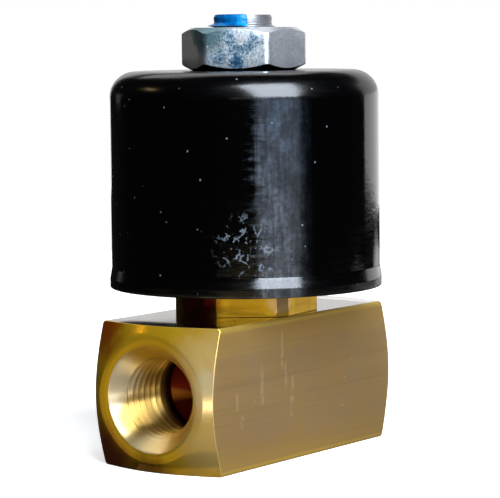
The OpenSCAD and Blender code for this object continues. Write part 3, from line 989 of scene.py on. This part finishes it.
def retaining_nut():
    corners = [NUT_TURN + 60 * k for k in range(6)]
    angles = round_angles(3, corners, spread=5.0, extra=6)
    low, high = nut_low.z, nut_high.z
    rows = []
    for z in spread(low + 0.4, high - NUT_SINK, 52):
        rows.append(ring_z(angles, lambda a, z=z: NUT_BORE + 0.32 * groove(a, z, STUD_PITCH), z))
    rows.append(ring_z(angles, NUT_BORE + NUT_SINK, high - 0.05))
    rows.append(ring_z(angles, NUT_BORE + NUT_SINK + 0.08, high))

    def radius(angle):
        return polygon_r(angle, 6, NUT_AF / 2, NUT_CORNER, NUT_TURN)

    rows += hex_rows(angles, radius, (NUT_CROWN, NUT_CROWN), NUT_SLOPE, low, high, 0.16)
    rows.append(ring_z(angles, NUT_BORE + 0.45, low))
    piece = skin("hexagon_nut", rows)
    dress(piece, "nut_group", "zinc_plate", (ZINC, SHADED_ZINC), "retaining_nut")
    # the downward-facing chamfers take the painted-shade zinc
    under = [int(-0.97 < polygon.normal.z < -0.25) for polygon in piece.data.polygons]
    piece.data.polygons.foreach_set("material_index", under)
    return smooth(piece)


# ---- coil can


def coil_can():
    rim, top = can_low.z, can_high.z
    roof = top - CAN_TOP_T
    inner_edge = CAN_EDGE - (CAN_R - CAN_IN_R)
    bead_r, lip = CAN_R + CAN_BEAD, 0.2
    flare_low, flare_high = rim + 1.4, rim + 3.1
    profile = [(CAN_IN_R + 0.15, rim)]
    profile += arc(bead_r - lip, rim + lip, lip, -90, 0, 5)
    profile += [(bead_r, rim + 0.6), (bead_r, rim + 1.0), (bead_r, flare_low - 0.15)]
    for z in spread(flare_low, flare_high, 14):
        profile.append((CAN_R + CAN_BEAD * (flare_high - z) / (flare_high - flare_low), z))
    straight_top = top - CAN_EDGE
    profile += [(CAN_R, z) for z in spread(flare_high + 0.15, straight_top + 0.15, 24)[:-1]]
    outer_count = len(profile)
    profile += arc(CAN_R - CAN_EDGE, straight_top, CAN_EDGE, 0, 90, 18)
    profile += [(12.0, top), (8.0, top), (CAN_HOLE + 0.1, top), (CAN_HOLE, top - 0.1), (CAN_HOLE, roof)]
    profile += arc(CAN_IN_R - inner_edge, roof - inner_edge, inner_edge, 90, 0, 8)
    profile += [(CAN_IN_R, rim + 0.15)]

    angles = round_angles(1.5)
    rows = []
    for k, (r, z) in enumerate(profile):
        amount = 0.012 if 6 <= k < outer_count else 0.0

        def radius(angle, r=r, z=z, amount=amount):
            spot = Vector((r * cos(angle), r * sin(angle), z)) / 7.0
            return r + amount * noise.noise(spot)
        rows.append(ring_z(angles, radius, z))
    shell = skin("can_shell", rows)

    cut(shell, [rod("grommet_cut", CAN_R / 2, CAN_R * 1.5, GROMMET_Z, GROMMET_R, step=5)])
    return smooth(dress(shell, "coil_group", "black_paint", (ENAMEL,), "coil_can"))


# ---- stem


def stud_limit(z):
    """The stud's radius without its thread: a plain rounded tip, and below it a cone out to full size."""
    below_top = core_high.z - z
    if below_top < STUD_PLAIN:
        return STUD_NECK_R - 0.22 * ease(-below_top, -0.45, 0.0) - 0.06 * ease(below_top, 0.6, STUD_PLAIN)
    return STUD_NECK_R - 0.06 + (STUD_R - STUD_NECK_R) * ease(below_top, STUD_PLAIN - 0.25, STUD_LEAD)


def stud_radius(angle, z):
    """The stud's threaded surface. The thread fades out below the plain tip."""
    fade = 1 - ease(z, core_high.z - STUD_PLAIN - 0.1, core_high.z - STUD_PLAIN + 0.15)
    return stud_limit(z) - STUD_DEPTH * fade * groove(angle, z, STUD_PITCH)


def stop_core():
    low, top = core_low.z, core_high.z
    shoulder = can_high.z - 2.2
    angles = round_angles(3)
    profile = [
        (SHADING_IN, low), (SHADING_IN, low + SHADING_H), (SHADING_OUT, low + SHADING_H),
        (SHADING_OUT, low), (CORE_R - 0.15, low), (CORE_R, low + 0.15),
        (CORE_R, CORE_SKIRT_Z), (CORE_NECK_R, CORE_SKIRT_Z),
        (CORE_NECK_R, shoulder - 0.1), (CORE_NECK_R - 0.1, shoulder), (STUD_R - 0.5, shoulder),
    ]
    rows = [ring_z(angles, r, z) for r, z in profile]
    start = shoulder + 0.5
    for z in spread(start, top, round((top - start) * 10)):
        rows.append(ring_z(angles, lambda a, z=z: stud_radius(a, z), z))
    rows.append(ring_z(angles, STUD_NECK_R - 0.4, top))
    rows.append(ring_z(angles, 2.5, top))
    piece = skin("core_and_stud", rows, tips=((0, 0, low), (0, 0, top)))
    return smooth(dress(piece, "valve", "stainless", (STUD_STEEL,), "stop_core"))


def thread_lock_paint():
    """A dab of paint on one side of the stud, feathered at its edges and run over its top edge."""
    first, last, columns = 100.0, 224.0, 72
    foot, top = mm_box("thread_lock_paint")[0].z, core_high.z
    side_steps, top_steps = 22, 8

    def surface(angle, t):
        """A point on the stud and its outward direction: t is 0 to 1 up the side, 1 to 2 over the tip."""
        if t <= 1:
            z = foot + (top - foot) * t
            hug = stud_limit(z) - 0.25 * (stud_limit(z) - stud_radius(angle, z))
            return hug, z, 1.0, 0.25
        return STUD_NECK_R - 0.22 - 1.5 * (t - 1), top, 0.25 * (2 - t), 1.0

    def thickness(angle, t):
        wander = 7 * noise.noise(Vector((t * 1.7, 3.1, 0.4)))
        side = min(ease(angle, first + wander, first + 16), ease(-angle, -last - wander, -last + 13))
        flare = 0.45 * (1 - ease(t, 0.0, 0.22)) if t < 1 else 0.0
        over_tip = 1 - ease(t, 1.15, 1.75)
        lumps = 0.035 * noise.noise(Vector((angle * 0.09, t * 2.2, 1.0)))
        return side * ((0.16 + lumps + flare) * over_tip) + 0.001

    levels = spread(0, 1, side_steps) + spread(1, 2, top_steps)[1:]
    outer, inner = [], []
    for angle in spread(first, last, columns):
        for t in levels:
            r, z, out, up = surface(angle, t)
            for grid, amount in ((outer, thickness(angle, t)), (inner, -0.06)):
                grid.append((
                    (r + out * amount) * cos(angle),
                    (r + out * amount) * sin(angle),
                    min(z + up * amount, top + 0.12),
                ))
    wide = len(levels)
    faces = []
    shift = len(outer)
    for k in range(columns):
        for i in range(wide - 1):
            a, b, c, d = k * wide + i, k * wide + i + 1, (k + 1) * wide + i + 1, (k + 1) * wide + i
            faces += [(a, b, c, d), (shift + d, shift + c, shift + b, shift + a)]
        for i in (0, wide - 1):
            a, d = k * wide + i, (k + 1) * wide + i
            faces.append((a, d, shift + d, shift + a))
    for k in (0, columns):
        for i in range(wide - 1):
            a, b = k * wide + i, k * wide + i + 1
            faces.append((a, b, shift + b, shift + a))
    piece = build("paint_dab", outer + inner, faces)
    return smooth(dress(piece, "valve", "blue_paint", (BLUE,), "thread_lock_paint"), 70)


# ---- inside the can


def plunger_spring():
    """A compression spring with a closed turn at each end."""
    low, high = spring_low.z, spring_high.z
    wire = 0.25
    coil_r = spring_high.x - wire
    turns, per_turn = 7, 36
    steps = turns * per_turn
    path = []
    for i in range(steps + 1):
        turn = i / per_turn
        closed = 2 * wire + 0.02
        middle = (high - low - 2 * wire - 2 * closed) / (turns - 2)
        end_turns = min(turn, 1) + max(0, turn - turns + 1)
        rise = end_turns * closed + max(0, min(turn - 1, turns - 2)) * middle
        path.append((coil_r * cos(360 * turn), coil_r * sin(360 * turn), low + wire + rise))
    piece = tube("return_spring", path, wire)
    dress(piece, "plunger_group", "spring_steel", (SPRING,), "plunger_spring")
    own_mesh(piece)
    return smooth(piece, 60)


def coil_winding():
    """Layers of wire side by side, with the two tails that run out to the tags."""
    low, high = tape_low.z, tape_high.z
    turns = int((high - low) / WIRE)
    pitch = (high - low) / turns
    per_turn = 6
    profile = [(WINDING_IN_R, high), (WINDING_IN_R, low)]
    for i in range(turns * per_turn + 1):
        bulge = abs(math.sin(math.pi * i / per_turn))
        profile.append((WINDING_R - 0.2 + 0.2 * bulge, low + pitch * i / per_turn))
    pieces = [lathe("turns", profile, step=3)]
    tail_z = tags_low.z + 3.5
    for side in (-1, 1):
        start, end = WINDING_R - 1.2, tags_low.x + 0.1
        path = [(start + (end - start) * i / 6, side * TAIL_Y, tail_z + 0.1 * math.sin(i)) for i in range(7)]
        pieces.append(tube("tail", path, TAIL_R - 0.02))
    piece = join("wound_coil", pieces)
    return smooth(dress(piece, "coil_group", "copper", (WIRE_COPPER,), "coil_winding"), 70)


valve_body()
bonnet()
coil_can()
retaining_nut()
stop_core()
thread_lock_paint()
plunger_spring()
coil_winding()

for node, material, edge in (
    ("bonnet_o_ring", RUBBER, 0.0),
    ("guide_tube", TUBE_STEEL, 0.08),
    ("shading_ring", BARE_COPPER, 0.06),
    ("plunger", STUD_STEEL, 0.12),
    ("plunger_seal", RUBBER, 0.1),
    ("seal_retainer", HEXAGON_BRASS, 0.06),
    ("flux_plate", IRON, 0.15),
    ("flux_sleeve", IRON, 0.1),
    ("coil_bobbin", NYLON, 0.15),
    ("winding_tape", TAPE, 0.04),
    ("terminal_tags", HEXAGON_BRASS, 0.08),
    ("insulator_washers", FIBRE, 0.04),
    ("wave_washer", SPRING, 0.06),
    ("lead_grommet", GROMMET, 0.3),
):
    finish_node(node, material, edge)


# ---- stage, light and camera


def direction(turn, rise):
    """A unit vector towards a place turn degrees right of the view's direction and rise degrees up."""
    angle = CAMERA_TURN - 90 + turn
    return Vector((cos(angle) * cos(rise), sin(angle) * cos(rise), sin(rise)))


def panel(name, turn, rise, distance, width, height, strength, tint=(1, 1, 1), aim=(0, 0, 35)):
    """A soft rectangular light that faces the object. strength is its radiance."""
    light = bpy.data.lights.new(name, "AREA")
    light.shape, light.size, light.size_y = "RECTANGLE", width * MM, height * MM
    light.color = tint
    light.energy = strength * math.pi * light.size * light.size_y
    lamp = add_object(name, light)
    towards = direction(turn, rise)
    lamp.location = (Vector(aim) + towards * distance) * MM
    lamp.rotation_mode = "QUATERNION"
    lamp.rotation_quaternion = towards.to_track_quat("Z", "Y")
    lamp.visible_camera = False
    return lamp


def floor():
    """A plain pale disc under the object. Only the camera sees it, so it doesn't show in the metal."""
    centre = direction(180, 0) * FLOOR_BACK
    count = 120
    points = []
    for i in range(count):
        angle = 360 * i / count
        points.append((centre.x + FLOOR_REACH * cos(angle), centre.y + FLOOR_REACH * sin(angle), FLOOR_Z))
    points.append((centre.x, centre.y, FLOOR_Z))
    disc = build("floor", points, [(i, (i + 1) % count, count) for i in range(count)])
    p = Paint("pale_floor", Roughness=0.8)
    darker, paler = (0.93, 0.93, 0.93), (0.96, 0.96, 0.96)
    p.set("Base Color", p.ramp(p.noise(p.position, 60, 3), (0.3, darker), (0.7, paler)))
    p.set("Emission Color", (1, 1, 1, 1))
    p.set("Emission Strength", 0.6)
    p.set("Specular IOR Level", 0.0)
    disc.data.materials.append(p.material)
    disc.visible_glossy = False
    disc.visible_diffuse = False
    disc.visible_shadow = False


def world():
    """White where the camera sees it, and a dim room for everything else."""
    scene_world = bpy.data.worlds.new("studio")
    bpy.context.scene.world = scene_world
    scene_world.use_nodes = True
    nodes, links = scene_world.node_tree.nodes, scene_world.node_tree.links
    room = nodes["Background"]
    room.inputs["Color"].default_value = (0.012, 0.012, 0.013, 1)
    seen = nodes.new("ShaderNodeBackground")
    seen.inputs["Color"].default_value = (1, 1, 1, 1)
    choose = nodes.new("ShaderNodeMixShader")
    links.new(nodes.new("ShaderNodeLightPath").outputs["Is Camera Ray"], choose.inputs[0])
    links.new(room.outputs[0], choose.inputs[1])
    links.new(seen.outputs[0], choose.inputs[2])
    links.new(choose.outputs[0], nodes["World Output"].inputs["Surface"])


def camera():
    back = direction(0, CAMERA_RISE)
    right = Vector((cos(CAMERA_TURN), sin(CAMERA_TURN), 0))
    up = back.cross(right)
    place = Vector((0, 0, CAMERA_AIM_Z)) + back * CAMERA_DISTANCE + right * CAMERA_SIDE
    across = right * cos(CAMERA_ROLL) - up * sin(CAMERA_ROLL)
    upright = right * sin(CAMERA_ROLL) + up * cos(CAMERA_ROLL)
    turn = Matrix((across, upright, back)).transposed()
    lens = bpy.data.cameras.new("camera")
    lens.lens, lens.sensor_width = CAMERA_LENS, 36.0
    lens.clip_start, lens.clip_end = 0.01, 10.0
    made = add_object("camera", lens)
    made.matrix_world = Matrix.Translation(place * MM) @ turn.to_4x4()
    bpy.context.scene.camera = made


floor()
world()
camera()
COOL, WARM, AMBER = (0.86, 0.95, 1.08), (1.0, 0.86, 0.55), (1.0, 0.7, 0.35)
# turn, rise, distance, width and height, with the lengths in millimetres
panel("softbox", 28, 37, 760, 540, 800, strength=14.5, tint=COOL)
panel("front_card", 28, 0, 760, 520, 190, strength=0.8, tint=COOL)
panel("low_card", -3, 6.8, 800, 220, 70, strength=0.65, tint=WARM)
panel("side_card", -134, 4, 900, 140, 120, strength=0.26)
panel("warm_lamp", -95, 30, 800, 90, 36, strength=16, tint=AMBER)
panel("backdrop", 160, 0, 1000, 1620, 500, strength=0.76, aim=(0, 0, 360))
panel("can_card", 150, 0, 900, 190, 22, strength=0.45, aim=(0, 0, -50))
panel("low_backdrop", 160, 0, 1000, 1500, 140, strength=1.25, aim=(0, 0, 36))
panel("rear_fill", 190, 48, 800, 520, 360, strength=1.3)
# soft lights just below the floor that shine up: x and y of the middle, width, height, strength and tint
LOW_LIGHTS = (
    (-115, 55, 170, 170, 0.20, (1.0, 0.80, 0.46)),
    (-190, -140, 170, 170, 0.54, (1.0, 0.82, 0.46)),
    (62, -120, 175, 250, 0.20, (1.0, 0.83, 0.76)),
    (205, -105, 105, 190, 0.56, (1.0, 0.92, 0.88)),
    (300, 40, 150, 150, 0.58, (1.0, 0.98, 1.02)),
    (-104, -32, 56, 56, 2.4, (1.0, 0.88, 0.64)),
    (-56, -78, 74, 74, 1.2, (1.0, 0.97, 0.92)),
)
for number, (x, y, width, height, strength, tint) in enumerate(LOW_LIGHTS):
    low_light = panel(f"low_light_{number}", 0, 90, 0, width, height, strength, tint, aim=(x, y, -1))
    low_light.rotation_quaternion = Vector((0, 0, -1)).to_track_quat("Z", "Y")
bpy.context.scene.view_settings.view_transform = "Standard"
